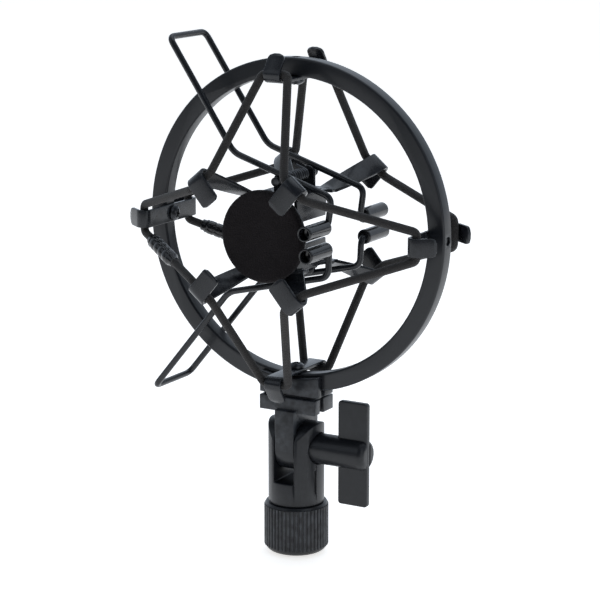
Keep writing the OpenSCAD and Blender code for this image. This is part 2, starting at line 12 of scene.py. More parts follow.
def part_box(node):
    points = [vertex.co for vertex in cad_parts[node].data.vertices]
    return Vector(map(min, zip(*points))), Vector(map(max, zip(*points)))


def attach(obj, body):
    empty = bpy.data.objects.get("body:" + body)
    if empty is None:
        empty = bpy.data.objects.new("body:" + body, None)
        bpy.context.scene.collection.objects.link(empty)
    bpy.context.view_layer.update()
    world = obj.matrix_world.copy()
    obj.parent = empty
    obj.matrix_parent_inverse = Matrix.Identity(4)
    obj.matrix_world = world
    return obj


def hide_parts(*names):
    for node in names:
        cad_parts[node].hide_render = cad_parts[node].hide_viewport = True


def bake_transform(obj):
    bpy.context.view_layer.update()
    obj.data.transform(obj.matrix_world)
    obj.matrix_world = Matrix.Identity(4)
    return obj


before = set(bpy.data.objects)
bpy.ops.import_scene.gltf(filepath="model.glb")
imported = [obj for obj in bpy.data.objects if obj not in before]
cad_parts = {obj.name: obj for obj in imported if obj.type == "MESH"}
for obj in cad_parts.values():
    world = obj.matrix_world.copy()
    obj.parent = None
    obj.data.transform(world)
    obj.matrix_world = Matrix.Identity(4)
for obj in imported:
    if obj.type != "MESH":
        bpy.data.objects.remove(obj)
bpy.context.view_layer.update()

bl_info = {
    "name": "Elastic shock mount",
    "version": (1, 0, 0),
    "blender": (4, 5, 0),
    "location": "View3D > Sidebar > Shock mount",
    "description": "Builds the finished pieces of an elastic microphone shock mount on its frame",
    "category": "Object",
}

MM = 0.001
X = Vector((1, 0, 0))
Y = Vector((0, 1, 0))
Z = Vector((0, 0, 1))


def middle(node):
    """Centre of a CAD node's box."""
    low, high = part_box(node)
    return (Vector(low) + Vector(high)) / 2


def span(node, axis):
    """Size of a CAD node's box along one axis."""
    low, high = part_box(node)
    return high[axis] - low[axis]


RING = middle("suspension_ring")
CRADLE = Vector((middle("front_pad").x, middle("cradle_upper_plate").y, middle("front_pad").z))
RING_RADIUS = span("suspension_ring", 0) / 2
RING_BAND = 6.5 * MM
SEAT_GAP = 0.12 * MM
BRACKET_SEAT = RING_RADIUS - RING_BAND - SEAT_GAP


# ---- sizes and colours ----


def length(name, value, about):
    return FloatProperty(name=name, default=value, unit="LENGTH", subtype="DISTANCE", precision=5, description=about)


def lengths(name, value, about):
    return FloatVectorProperty(name=name, default=value, unit="LENGTH", precision=5, description=about)


def rotation(name, degrees, about):
    return FloatProperty(
        name=name, default=math.radians(degrees), unit="ROTATION", subtype="ANGLE", description=about
    )


def colour(name, value, about):
    return FloatVectorProperty(name=name, default=value, size=3, subtype="COLOR", min=0, max=1, description=about)


class FinishSettings(PropertyGroup):
    """Colours of the finishes."""

    paint: colour("Paint", (0.0075, 0.0088, 0.0115), "Gloss black paint on the steel")
    cast_paint: colour("Cast paint", (0.0062, 0.0072, 0.0095), "Paint on the turned and cast pieces")
    # Lighter paint on edges: partly real wear, partly a painted edge highlight.
    edge: colour("Worn edge and painted edge highlight", (0.045, 0.050, 0.058), "Paint where an edge is rubbed thin, and painted edge highlight")
    cord: colour("Cord", (0.0125, 0.0105, 0.0100), "Woven cover of the elastic")
    cord_fleck: colour("Cord fleck", (0.036, 0.031, 0.029), "Lighter threads of the cover")
    grip: colour("Grip", (0.0060, 0.0066, 0.0078), "Tube grips and cord sleeves")
    foam: colour("Foam", (0.0042, 0.0035, 0.0038), "Front pad")
    screw: colour("Screw", (0.050, 0.052, 0.056), "Blackened screws, pins and springs")
    zinc: colour("Zinc", (0.42, 0.43, 0.45), "Plated nut and retaining ring")


class StrapSettings(PropertyGroup):
    """Sizes of the bent steel straps."""

    thickness: length("Thickness", 1.2 * MM, "Thickness of the straps and plates")
    edge: length("Edge", 0.28 * MM, "Rounding of their edges")
    bracket_width: length("Bracket width", 6.5 * MM, "Width of the cord brackets")
    bracket_fold: length("Bracket fold", 1.8 * MM, "Inner radius of a bracket's fold")
    bracket_reach: length("Bracket reach", 14.5 * MM, "Distance of a fold from the ring's plane")
    bracket_tab: length("Bracket tab", 6.6 * MM, "Straight end after a fold")
    bracket_turn: rotation("Bracket turn", 125, "Angle of a fold")
    hook_width: length("Hook width", 7.2 * MM, "Width of the cradle's hooks")
    hook_fold: length("Hook fold", 2 * MM, "Inner radius of a hook")
    hook_flap: length("Hook flap", 9 * MM, "Flap in front of the cord")
    hook_tilt: rotation("Hook tilt", 50, "Slope of the hooks")
    hook_place: lengths("Hook place", (18.5 * MM, 29.5 * MM, 19.5 * MM), "Each hook from the cradle's centre")
    web: lengths("Web", (12 * MM, 13.8 * MM, 13 * MM), "Half width, half depth and height of a plate's web")


class CordSettings(PropertyGroup):
    """Sizes of the elastic loops."""

    diameter: length("Diameter", 3 * MM, "Diameter of the elastic")
    mouth: length("Mouth", 5 * MM, "Half of the straight stretch through a fold")
    thread: length("Thread", 0.75 * MM, "Length of one crossing of the woven cover")


class ClampSettings(PropertyGroup):
    """Sizes of the levers, grips and springs."""

    wire: length("Wire", 2.3 * MM, "Diameter of the lever wire")
    corner: length("Corner", 3 * MM, "Cut back of a corner of the wire")
    leg: length("Leg", 11.7 * MM, "Half the distance between a lever's legs")
    grip: length("Grip", 5.3 * MM, "Diameter of the tube grips")
    grip_end: length("Grip end", 28.5 * MM, "Outer end of a grip from the cradle's centre")
    grip_length: length("Grip length", 15 * MM, "Length of a grip")
    wire_in: length("Wire in", 4 * MM, "How far the wire's end stops inside a grip")
    coil_turns: FloatProperty(name="Coil turns", default=8.5, min=3, max=14, description="Turns of a torsion spring")
    coil_radius: length("Coil radius", 1.9 * MM, "Mean radius of a torsion spring")
    coil_wire: length("Coil wire", 0.45 * MM, "Radius of the spring wire")
    coil_half: length("Coil half", 6.2 * MM, "Half the length of a coil")
    coil_room: length("Coil room", 2.8 * MM, "Half width of the window that a low coil dips into")


class FittingSettings(PropertyGroup):
    """Sizes of the stand fitting."""

    ribs: IntProperty(name="Ribs", default=48, min=24, max=90, description="Ribs round the collar")
    rib: length("Rib", 0.55 * MM, "Radius of a rib")
    edge: length("Edge", 0.35 * MM, "Rounding of edges on the turned pieces")


class StageSettings(PropertyGroup):
    """Camera and lights."""

    azimuth: rotation("Azimuth", 29.92, "View to the right")
    elevation: rotation("Elevation", 12.56, "View from above")
    distance: length("Distance", 750 * MM, "Camera to what it looks at")
    lens: FloatProperty(name="Lens", default=126.5, description="Focal length in millimetres")
    aim_right: length("Aim right", 1.33 * MM, "Aim beside the ring's centre")
    aim_up: length("Aim up", -26.54 * MM, "Aim above the ring's centre")


# ---- meshes ----


def link(obj):
    bpy.context.scene.collection.objects.link(obj)
    return obj


def baked(obj):
    """Turns what obj shows, modifiers and all, into a plain mesh."""
    graph = bpy.context.evaluated_depsgraph_get()
    graph.update()
    mesh = bpy.data.meshes.new_from_object(obj.evaluated_get(graph), preserve_all_data_layers=True, depsgraph=graph)
    name = obj.name
    bpy.data.objects.remove(obj)
    mesh.name = name
    return link(bpy.data.objects.new(name, mesh))


def smooth(obj, limit):
    for face in obj.data.polygons:
        face.use_smooth = True
    obj.data.set_sharp_from_angle(angle=math.radians(limit))
    return obj


def skin(name, rings, closed=False):
    """Mesh through a row of point rings. U goes round a ring, V is the distance along the row."""
    count, sides = len(rings), len(rings[0])
    centres = [sum(ring, Vector()) / sides for ring in rings]
    along = [0.0]
    for a, b in zip(centres, centres[1:] + centres[:1]):
        along.append(along[-1] + (b - a).length)
    verts = [p for ring in rings for p in ring]
    faces = []
    uvs = []
    for i in range(count if closed else count - 1):
        j = (i + 1) % count
        for k in range(sides):
            m = (k + 1) % sides
            faces.append((i * sides + k, i * sides + m, j * sides + m, j * sides + k))
            u, w = k / sides, (k + 1) / sides
            uvs += [(u, along[i]), (w, along[i]), (w, along[i + 1]), (u, along[i + 1])]
    if not closed:
        faces.append(tuple(reversed(range(sides))))
        faces.append(tuple(range((count - 1) * sides, count * sides)))
        uvs += [(0, 0)] * (2 * sides)
    mesh = bpy.data.meshes.new(name)
    mesh.from_pydata([tuple(v) for v in verts], [], faces)
    layer = mesh.uv_layers.new(name="UVMap")
    for corner, uv in zip(layer.data, uvs):
        corner.uv = uv
    mesh.validate()
    bm = bmesh.new()
    bm.from_mesh(mesh)
    bmesh.ops.recalc_face_normals(bm, faces=bm.faces)
    bm.to_mesh(mesh)
    bm.free()
    return smooth(link(bpy.data.objects.new(name, mesh)), 50)


def joined(name, parts):
    """One mesh of several objects, which are removed."""
    bm = bmesh.new()
    for part in parts:
        bm.from_mesh(part.data)
        bpy.data.objects.remove(part)
    mesh = bpy.data.meshes.new(name)
    bm.to_mesh(mesh)
    bm.free()
    return link(bpy.data.objects.new(name, mesh))


def circle(centre, side, up, radius, sides):
    turn = 2 * math.pi / sides
    return [centre + radius * (math.cos(turn * k) * side + math.sin(turn * k) * up) for k in range(sides)]


def rounded(path, cut, steps):
    """A path with its inner corners turned into short curves that start cut before each corner."""
    out = [path[0]]
    for before, corner, after in zip(path, path[1:], path[2:]):
        a = corner + (before - corner).normalized() * min(cut, (before - corner).length / 2.2)
        b = corner + (after - corner).normalized() * min(cut, (after - corner).length / 2.2)
        for k in range(steps + 1):
            t = k / steps
            out.append((1 - t) ** 2 * a + 2 * t * (1 - t) * corner + t * t * b)
    return out + [path[-1]]


def tangents(path):
    last = len(path) - 1
    return [(path[min(i + 1, last)] - path[max(i - 1, 0)]).normalized() for i in range(last + 1)]


def tube(name, path, radius, sides):
    """Round bar along a path, its section carried along without twisting."""
    rings = []
    side = None
    for point, ahead in zip(path, tangents(path)):
        if side is None:
            side = ahead.orthogonal().normalized()
        side = (side - ahead * side.dot(ahead)).normalized()
        rings.append(circle(point, side, ahead.cross(side), radius, sides))
    return skin(name, rings)


def lathe(name, profile, origin, axis, sides, closed=False):
    """Turned piece. Profile is radius and height pairs along the axis from the origin."""
    side = axis.orthogonal().normalized()
    up = axis.cross(side)
    rings = [circle(origin + axis * h, side, up, max(r, 0.00001), sides) for r, h in profile]
    return skin(name, rings, closed=closed)


def arc_points(x, y, radius, start, end, steps):
    """Points of an arc round x and y, between two angles in degrees."""
    turns = [math.radians(start + (end - start) * k / steps) for k in range(steps + 1)]
    return [(x + radius * math.cos(a), y + radius * math.sin(a)) for a in turns]


def strap_ring(point, across, normal, width, thick, edge):
    """Section of a strap: a rectangle with rounded corners."""
    ring = []
    steps = 3
    for sx, sy, start in ((1, 1, 0), (-1, 1, 90), (-1, -1, 180), (1, -1, 270)):
        for k in range(steps + 1):
            a = math.radians(start + 90 * k / steps)
            u = sx * (width / 2 - edge) + edge * math.cos(a)
            v = sy * (thick / 2 - edge) + edge * math.sin(a)
            ring.append(point + across * u + normal * v)
    return ring


def strap(name, path, across, widths, thick, edge):
    """Bent strap along a path. across gives the direction of its width at each point."""
    rings = []
    for point, ahead, wide, width in zip(path, tangents(path), across, widths):
        wide = (wide - ahead * wide.dot(ahead)).normalized()
        rings.append(strap_ring(point, wide, wide.cross(ahead), width, thick, edge))
    return skin(name, rings)


def plate(name, outline, holes, thick, edge, place):
    """Flat pressing with rounded edges: outline and holes are 2D, place is its matrix."""
    curve = bpy.data.curves.new(name, "CURVE")
    curve.dimensions = "2D"
    curve.fill_mode = "BOTH"
    curve.extrude = thick / 2 - edge
    curve.bevel_depth = edge
    curve.bevel_resolution = 2
    curve.offset = -edge
    for points in [outline] + holes:
        spline = curve.splines.new("POLY")
        spline.points.add(len(points) - 1)
        for target, point in zip(spline.points, points):
            target.co = (point[0], point[1], 0, 1)
        spline.use_cyclic_u = True
    obj = baked(link(bpy.data.objects.new(name, curve)))
    obj.data.transform(place)
    bm = bmesh.new()
    bm.from_mesh(obj.data)
    bmesh.ops.remove_doubles(bm, verts=bm.verts, dist=1e-6)
    bmesh.ops.recalc_face_normals(bm, faces=bm.faces)
    bm.to_mesh(obj.data)
    bm.free()
    return smooth(obj, 40)


def softened(node, edge):
    """Copy of a CAD node with its sharp edges rounded."""
    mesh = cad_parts[node].data.copy()
    bm = bmesh.new()
    bm.from_mesh(mesh)
    bmesh.ops.remove_doubles(bm, verts=bm.verts, dist=2e-6)
    bmesh.ops.dissolve_limit(bm, angle_limit=math.radians(0.6), verts=bm.verts, edges=bm.edges)
    bm.to_mesh(mesh)
    bm.free()
    obj = link(bpy.data.objects.new("soft_" + node, mesh))
    for face in mesh.polygons:
        face.use_smooth = True
    bevel = obj.modifiers.new("Rounded edges", "BEVEL")
    bevel.width = edge
    bevel.segments = 3
    bevel.limit_method = "ANGLE"
    bevel.angle_limit = math.radians(38)
    bevel.use_clamp_overlap = False
    obj = baked(obj)
    obj.name = node + "_finished"
    return smooth(obj, 32)


# ---- node trees ----

FLOAT = "NodeSocketFloat"


def put(tree, kind, inputs=None, **settings):
    """Adds a node. An input is given by name or number, as a value or as a socket to link from."""
    item = tree.nodes.new(kind)
    for key, value in settings.items():
        setattr(item, key, value)
    for key, value in (inputs or {}).items():
        socket = item.inputs[key]
        if isinstance(value, bpy.types.NodeSocket):
            tree.links.new(value, socket)
        else:
            socket.default_value = value
    return item


def group(name, kind, inputs, outputs):
    """New node group with named sockets: inputs are name, socket type and default."""
    tree = bpy.data.node_groups.new(name, kind)
    for label, socket, default in inputs:
        made = tree.interface.new_socket(name=label, in_out="INPUT", socket_type=socket)
        if default is not None:
            made.default_value = default
    for label, socket in outputs:
        tree.interface.new_socket(name=label, in_out="OUTPUT", socket_type=socket)
    return tree, tree.nodes.new("NodeGroupInput").outputs, tree.nodes.new("NodeGroupOutput").inputs


def maths(tree, operation, a, b=0.0, clamp=False):
    return put(tree, "ShaderNodeMath", {0: a, 1: b}, operation=operation, use_clamp=clamp).outputs[0]


def noise(tree, place, scale, detail):
    return put(tree, "ShaderNodeTexNoise", {"Vector": place, "Scale": scale, "Detail": detail}).outputs[0]


def ramp(tree, value, low, high):
    """Stretches the values between low and high to 0 to 1."""
    return put(tree, "ShaderNodeMapRange", {"Value": value, "From Min": low, "From Max": high}).outputs[0]


def rubbed_edges_and_highlights():
    """Mask of the edges where paint wears and where a highlight is painted, broken up by a fine noise."""
    tree = bpy.data.node_groups.get("Rubbed edges")
    if tree:
        return tree
    tree, given, out = group(
        "Rubbed edges",
        "ShaderNodeTree",
        [("Amount", FLOAT, 0.6), ("Patch size", FLOAT, 400.0)],
        [("Mask", FLOAT)],
    )
    place = put(tree, "ShaderNodeTexCoord").outputs["Object"]
    sharp = put(tree, "ShaderNodeNewGeometry").outputs["Pointiness"]
    edge = ramp(tree, sharp, 0.515, 0.60)
    patch = noise(tree, place, given["Patch size"], 4.0)
    patch = ramp(tree, patch, 0.35, 0.65)
    mask = maths(tree, "MULTIPLY", edge, patch)
    tree.links.new(maths(tree, "MULTIPLY", mask, given["Amount"], True), out["Mask"])
    return tree


def paint_skin():
    """Orange peel, fine grain and dust of a sprayed surface."""
    tree = bpy.data.node_groups.get("Paint skin")
    if tree:
        return tree
    tree, given, out = group(
        "Paint skin",
        "ShaderNodeTree",
        [
            ("Peel size", FLOAT, 900.0),
            ("Grain size", FLOAT, 4500.0),
            ("Grain", FLOAT, 0.25),
            ("Base roughness", FLOAT, 0.3),
        ],
        [("Height", FLOAT), ("Roughness", FLOAT), ("Dust", FLOAT)],
    )
    place = put(tree, "ShaderNodeTexCoord").outputs["Object"]
    peel = noise(tree, place, given["Peel size"], 2.0)
    grain = noise(tree, place, given["Grain size"], 2.0)
    patch = noise(tree, place, 90.0, 5.0)
    tree.links.new(maths(tree, "ADD", peel, maths(tree, "MULTIPLY", grain, given["Grain"])), out["Height"])
    spread = maths(tree, "MULTIPLY", maths(tree, "SUBTRACT", patch, 0.5), 0.06)
    tree.links.new(maths(tree, "ADD", given["Base roughness"], spread, True), out["Roughness"])
    speck = noise(tree, place, 1600.0, 6.0)
    speck = ramp(tree, speck, 0.62, 0.75)
    facing = put(tree, "ShaderNodeSeparateXYZ", {0: put(tree, "ShaderNodeNewGeometry").outputs["Normal"]}).outputs[2]
    up = ramp(tree, facing, 0.2, 1.0)
    tree.links.new(maths(tree, "MULTIPLY", speck, up), out["Dust"])
    return tree


def braid():
    """Woven cover: two sets of threads that cross at a slant, from the piece's own UV map. Thread is the mask for the
    painted shade between threads.
    """
    tree = bpy.data.node_groups.get("Braid")
    if tree:
        return tree
    tree, given, out = group(
        "Braid",
        "ShaderNodeTree",
        [("Threads round", FLOAT, 12.0), ("Crossings per metre", FLOAT, 1300.0)],
        [("Height", FLOAT), ("Thread", FLOAT), ("Fleck", FLOAT)],
    )
    uv = put(tree, "ShaderNodeUVMap", uv_map="UVMap").outputs[0]
    split = put(tree, "ShaderNodeSeparateXYZ", {0: uv}).outputs
    turns = maths(tree, "MULTIPLY", split[0], given["Threads round"])
    run = maths(tree, "MULTIPLY", split[1], given["Crossings per metre"])
    left = maths(tree, "MULTIPLY", maths(tree, "ADD", turns, run), math.pi)
    right = maths(tree, "MULTIPLY", maths(tree, "SUBTRACT", turns, run), math.pi)
    ridge_a = maths(tree, "ABSOLUTE", maths(tree, "SINE", left))
    ridge_b = maths(tree, "ABSOLUTE", maths(tree, "SINE", right))
    over = maths(tree, "GREATER_THAN", maths(tree, "SINE", maths(tree, "ADD", left, right)), 0.0)
    under = maths(tree, "SUBTRACT", 1.0, over)
    height = maths(tree, "ADD", maths(tree, "MULTIPLY", ridge_a, over), maths(tree, "MULTIPLY", ridge_b, under))
    tree.links.new(height, out["Height"])
    # Thread: low in the grooves between threads, where painted shade goes.
    tree.links.new(maths(tree, "POWER", height, 1.6), out["Thread"])
    place = put(tree, "ShaderNodeTexCoord").outputs["Object"]
    fleck = ramp(tree, noise(tree, place, 2600.0, 3.0), 0.5, 0.72)
    tree.links.new(maths(tree, "MULTIPLY", fleck, height), out["Fleck"])
    return tree


def foam_cells():
    """Open cells of a soft foam: pits of two sizes, with painted shade in the pits and a broad random tone."""
    tree = bpy.data.node_groups.get("Foam cells")
    if tree:
        return tree
    tree, given, out = group(
        "Foam cells",
        "ShaderNodeTree",
        [("Cell size", FLOAT, 1800.0)],
        [("Height", FLOAT), ("Shade", FLOAT)],
    )
    place = put(tree, "ShaderNodeTexCoord").outputs["Object"]
    cell = put(tree, "ShaderNodeTexVoronoi", {"Vector": place, "Scale": given["Cell size"]}).outputs["Distance"]
    fine = noise(tree, place, 5200.0, 4.0)
    height = maths(tree, "ADD", cell, maths(tree, "MULTIPLY", fine, 0.5))
    tree.links.new(height, out["Height"])
    # Pits darker as painted shade, and the broad noise adds random tone.
    broad = noise(tree, place, 220.0, 3.0)
    tree.links.new(maths(tree, "MULTIPLY", maths(tree, "ADD", height, broad), 0.6, True), out["Shade"])
    return tree


def use(tree, made, inputs=None):
    """Places a shader group in a material and returns its outputs."""
    item = tree.nodes.new("ShaderNodeGroup")
    item.node_tree = made
    for key, value in (inputs or {}).items():
        item.inputs[key].default_value = value
    return item.outputs


def material(name):
    """Named material. When it's new, its tree and shader come too, and otherwise None."""
    made = bpy.data.materials.get(name)
    if made:
        return made, None, None
    made = bpy.data.materials.new(name)
    made.use_nodes = True
    return made, made.node_tree, made.node_tree.nodes["Principled BSDF"]


def mixed(tree, mask, low, high):
    """Colour between two colours or sockets by a mask."""
    node = put(tree, "ShaderNodeMix", data_type="RGBA")
    colour_in = [s for s in node.inputs if s.type == "RGBA"]
    for socket, value in zip(colour_in, (low, high)):
        if isinstance(value, bpy.types.NodeSocket):
            tree.links.new(value, socket)
        else:
            socket.default_value = (*value, 1)
    tree.links.new(mask, node.inputs[0])
    return [s for s in node.outputs if s.type == "RGBA"][0]


def bump(tree, shader, height, distance):
    normal = put(tree, "ShaderNodeBump", {"Height": height, "Distance": distance, "Strength": 1.0})
    tree.links.new(normal.outputs[0], shader.inputs["Normal"])


def tint(name):
    """A colour of the finishes."""
    return tuple(getattr(bpy.context.scene.shock_finish, name))


def painted(name, base, roughness, grain, rubbed, peel=0.000012):
    """Sprayed paint with rubbed edges that also carry a painted edge highlight, orange peel and a little dust."""
    made, tree, shader = material(name)
    if tree is None:
        return made
    surface = use(tree, paint_skin(), {"Grain": grain, "Base roughness": roughness})
    wear_and_highlight = use(tree, rubbed_edges_and_highlights(), {"Amount": rubbed})["Mask"]
    # Edges lighten towards the edge colour: partly real wear, partly a painted edge highlight.
    shade = mixed(tree, wear_and_highlight, base, tint("edge"))
    shade = mixed(tree, maths(tree, "MULTIPLY", surface["Dust"], 0.10), shade, (0.22, 0.22, 0.22))
    tree.links.new(shade, shader.inputs["Base Color"])
    tree.links.new(surface["Roughness"], shader.inputs["Roughness"])
    shader.inputs["Specular IOR Level"].default_value = 0.33
    shader.inputs["Coat Roughness"].default_value = 0.10
    shader.inputs["Coat Weight"].default_value = 0.12
    bump(tree, shader, surface["Height"], peel)
    return made


def strap_paint():
    return painted("Gloss black paint", tint("paint"), 0.27, 0.15, 0.55)


def ring_paint():
    return painted("Satin black paint", tint("paint"), 0.34, 0.35, 0.65)


def cast_paint():
    return painted("Black paint on castings", tint("cast_paint"), 0.40, 0.8, 0.75, 0.00002)


def elastic_cover():
    made, tree, shader = material("Woven elastic cover")
    if tree is None:
        return made
    crossings = 1 / bpy.context.scene.shock_cord.thread
    weave = use(tree, braid(), {"Crossings per metre": crossings})
    # Painted shade: the cover darkens to a third in the grooves between threads.
    painted_groove_shade = tuple(0.35 * c for c in tint("cord"))
    shade = mixed(tree, weave["Thread"], painted_groove_shade, tint("cord"))
    shade = mixed(tree, weave["Fleck"], shade, tint("cord_fleck"))
    tree.links.new(shade, shader.inputs["Base Color"])
    shader.inputs["Roughness"].default_value = 0.78
    shader.inputs["Sheen Weight"].default_value = 0.10
    bump(tree, shader, weave["Height"], 0.00012)
    return made


def grip_plastic():
    made, tree, shader = material("Glossy tube plastic")
    if tree is None:
        return made
    surface = use(tree, paint_skin(), {"Peel size": 420.0, "Grain": 0.08, "Base roughness": 0.16})
    base = tint("grip")
    shade = mixed(tree, maths(tree, "MULTIPLY", surface["Dust"], 0.12), base, (0.2, 0.2, 0.2))
    tree.links.new(shade, shader.inputs["Base Color"])
    tree.links.new(surface["Roughness"], shader.inputs["Roughness"])
    bump(tree, shader, surface["Height"], 0.00004)
    return made


def foam():
    made, tree, shader = material("Black foam")
    if tree is None:
        return made
    cells = use(tree, foam_cells())
    # Painted shade: the foam is lighter on the cell walls and darker in the pits.
    light = tuple(3.2 * c for c in tint("foam"))
    tree.links.new(mixed(tree, cells["Shade"], tint("foam"), light), shader.inputs["Base Color"])
    shader.inputs["Roughness"].default_value = 0.95
    shader.inputs["Specular IOR Level"].default_value = 0.12
    shader.inputs["Sheen Weight"].default_value = 0.04
    bump(tree, shader, cells["Height"], 0.00025)
    return made


def metal(name, base, roughness):
    made, tree, shader = material(name)
    if tree is None:
        return made
    surface = use(tree, paint_skin(), {"Grain": 0.5, "Base roughness": roughness})
    wear_and_highlight = use(tree, rubbed_edges_and_highlights(), {"Amount": 0.6})["Mask"]
    # Edges lighten: partly bare metal from wear, partly a painted edge highlight.
    light = tuple(min(1.0, 4 * c) for c in base)
    tree.links.new(mixed(tree, wear_and_highlight, base, light), shader.inputs["Base Color"])
    tree.links.new(surface["Roughness"], shader.inputs["Roughness"])
    shader.inputs["Metallic"].default_value = 1.0
    bump(tree, shader, surface["Height"], 0.00001)
    return made


def screw_metal():
    return metal("Blackened steel", tint("screw"), 0.30)


def zinc_metal():
    return metal("Zinc plate", tint("zinc"), 0.32)


def finish_piece(obj, made, body, *nodes, slot="black_paint"):
    """Gives a piece its material and body, and lets it stand for its CAD nodes."""
    obj.data.materials.clear()
    obj.data.materials.append(made)
    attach(obj, body)
    if nodes:
        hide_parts(*nodes)
    return obj


# ---- ring, yoke and stand fitting ----


def softened_piece(node, body, edge, made, slot="black_paint"):
    return finish_piece(softened(node, edge), made, body, node, slot=slot)


class MOUNT_OT_ring(Operator):
    """Builds the suspension ring and the yoke that holds it"""

    bl_idname = "shock_mount.ring"
    bl_label = "Ring and yoke"

    def execute(self, context):
        softened_piece("suspension_ring", "head", 0.25 * MM, ring_paint())
        softened_piece("ring_yoke", "head", 0.30 * MM, cast_paint())
        return {"FINISHED"}


def rib_tree():
    """Geometry nodes: upright ribs spaced evenly round a collar."""
    tree, given, out = group(
        "Ribs round a collar",
        "GeometryNodeTree",
        [
            ("Count", "NodeSocketInt", 60),
            ("Circle radius", FLOAT, 0.011),
            ("Rib radius", FLOAT, 0.0004),
            ("Foot", FLOAT, 0.002),
            ("Height", FLOAT, 0.015),
            ("Material", "NodeSocketMaterial", None),
        ],
        [("Geometry", "NodeSocketGeometry")],
    )
    ends = [put(tree, "ShaderNodeCombineXYZ", {2: socket}).outputs[0] for socket in (given["Foot"], given["Height"])]
    line = put(tree, "GeometryNodeCurvePrimitiveLine", {"Start": ends[0], "End": ends[1]}).outputs[0]
    size = {"Resolution": 10, "Radius": given["Rib radius"]}
    profile = put(tree, "GeometryNodeCurvePrimitiveCircle", size).outputs[0]
    shape = {"Curve": line, "Profile Curve": profile, "Fill Caps": True}
    rib = put(tree, "GeometryNodeCurveToMesh", shape).outputs[0]
    size = {"Resolution": given["Count"], "Radius": given["Circle radius"]}
    round_it = put(tree, "GeometryNodeCurvePrimitiveCircle", size).outputs[0]
    copies = put(tree, "GeometryNodeInstanceOnPoints", {"Points": round_it, "Instance": rib}).outputs[0]
    solid = put(tree, "GeometryNodeRealizeInstances", {0: copies}).outputs[0]
    skinned = put(tree, "GeometryNodeSetMaterial", {"Geometry": solid, "Material": given["Material"]}).outputs[0]
    tree.links.new(skinned, out["Geometry"])
    return tree


def from_nodes(name, tree, values):
    """Plain mesh from a geometry node tree and its named inputs."""
    obj = link(bpy.data.objects.new(name, bpy.data.meshes.new(name)))
    modifier = obj.modifiers.new("Nodes", "NODES")
    modifier.node_group = tree
    for item in tree.interface.items_tree:
        if item.item_type == "SOCKET" and item.in_out == "INPUT" and item.name in values:
            modifier[item.identifier] = values[item.name]
    return smooth(baked(obj), 45)


class MOUNT_OT_fitting(Operator):
    """Builds the stand collar, swivel body and wing screw"""

    bl_idname = "shock_mount.fitting"
    bl_label = "Stand fitting"

    def execute(self, context):
        sizes = context.scene.shock_fitting
        made = cast_paint()
        radius = span("stand_collar", 0) / 2
        top = span("stand_collar", 2)
        core = radius - 0.42 * MM
        round_foot = 2.6 * MM
        thread, thread_end = 7.94 * MM, 9.6 * MM
        cavity, lip_foot = 9.3 * MM, top - 1.9 * MM
        profile = [(thread, thread_end), (thread, 0.35 * MM), (8.25 * MM, 0)]
        profile += arc_points(core - round_foot, round_foot, round_foot, -90, 0, 10)
        profile += [(core, top - 1.0 * MM), (core + 0.22 * MM, top - 0.8 * MM)]
        profile += arc_points(radius - 0.9 * MM, top - 0.35 * MM, 0.35 * MM, 0, 90, 5)
        profile += [(8.6 * MM, top), (8.2 * MM, top - 0.5 * MM), (8.15 * MM, lip_foot)]
        profile += [(cavity, lip_foot), (cavity, thread_end)]
        base = lathe("collar_base", profile, Vector(), Z, 128, closed=True)
        ribs = from_nodes(
            "collar_ribs",
            rib_tree(),
            {
                "Count": sizes.ribs,
                "Circle radius": radius - sizes.rib,
                "Rib radius": sizes.rib,
                "Foot": round_foot * 0.8,
                "Height": top - 1.0 * MM,
                "Material": made,
            },
        )
        finish_piece(joined("stand_collar_ribbed", [base, ribs]), made, "collar", "stand_collar")
        softened_piece("swivel_body", "swivel", sizes.edge, made)
        softened_piece("clamp_nut", "swivel", 0.3 * MM, zinc_metal(), "steel")
        softened_piece("retaining_ring", "swivel", 0.1 * MM, zinc_metal(), "steel")
        softened_piece("wing_barrel", "wing_screw", 0.25 * MM, made)
        softened_piece("wing_plate", "wing_screw", 0.45 * MM, made)
        return {"FINISHED"}


# ---- cord brackets ----


def end_width(width, corner, past):
    """Width of a strap where its rounded corners have begun past this much before its end."""
    past = max(0.0, past)
    return width - 2 * (corner - math.sqrt(max(corner**2 - past**2, 1e-12)))


def bracket_path(sizes):
    """Middle line of a bracket in its own axes: outward, then to the back."""
    bend = sizes.bracket_fold + sizes.thickness / 2
    fold = Vector((BRACKET_SEAT + sizes.bracket_fold, -sizes.bracket_reach))
    path = [Vector((BRACKET_SEAT - sizes.thickness / 2, 0))]
    steps = 16
    for k in range(steps + 1):
        a = math.pi + sizes.bracket_turn * k / steps
        path.append(fold + bend * Vector((math.cos(a), math.sin(a))))
    a = math.pi + sizes.bracket_turn
    ahead = Vector((-math.sin(a), math.cos(a)))
    start = path[-1]
    tab, steps = sizes.bracket_tab, 12
    corner = 2 * MM
    widths = [sizes.bracket_width] * len(path)
    for k in range(1, steps + 1):
        path.append(start + ahead * (tab * k / steps))
        widths.append(end_width(sizes.bracket_width, corner, tab * k / steps - (tab - corner)))
    return path, widths


def cord_bracket(name, angle, sizes):
    out = Vector((math.cos(angle), 0, math.sin(angle)))
    wide = Vector((-math.sin(angle), 0, math.cos(angle)))
    half, widths = bracket_path(sizes)
    front = [RING + out * p.x + Y * p.y for p in half]
    back = [RING + out * p.x - Y * p.y for p in half]
    path = list(reversed(front)) + back[1:]
    widths = list(reversed(widths)) + widths[1:]
    return strap(name, path, [wide] * len(path), widths, sizes.thickness, sizes.edge)


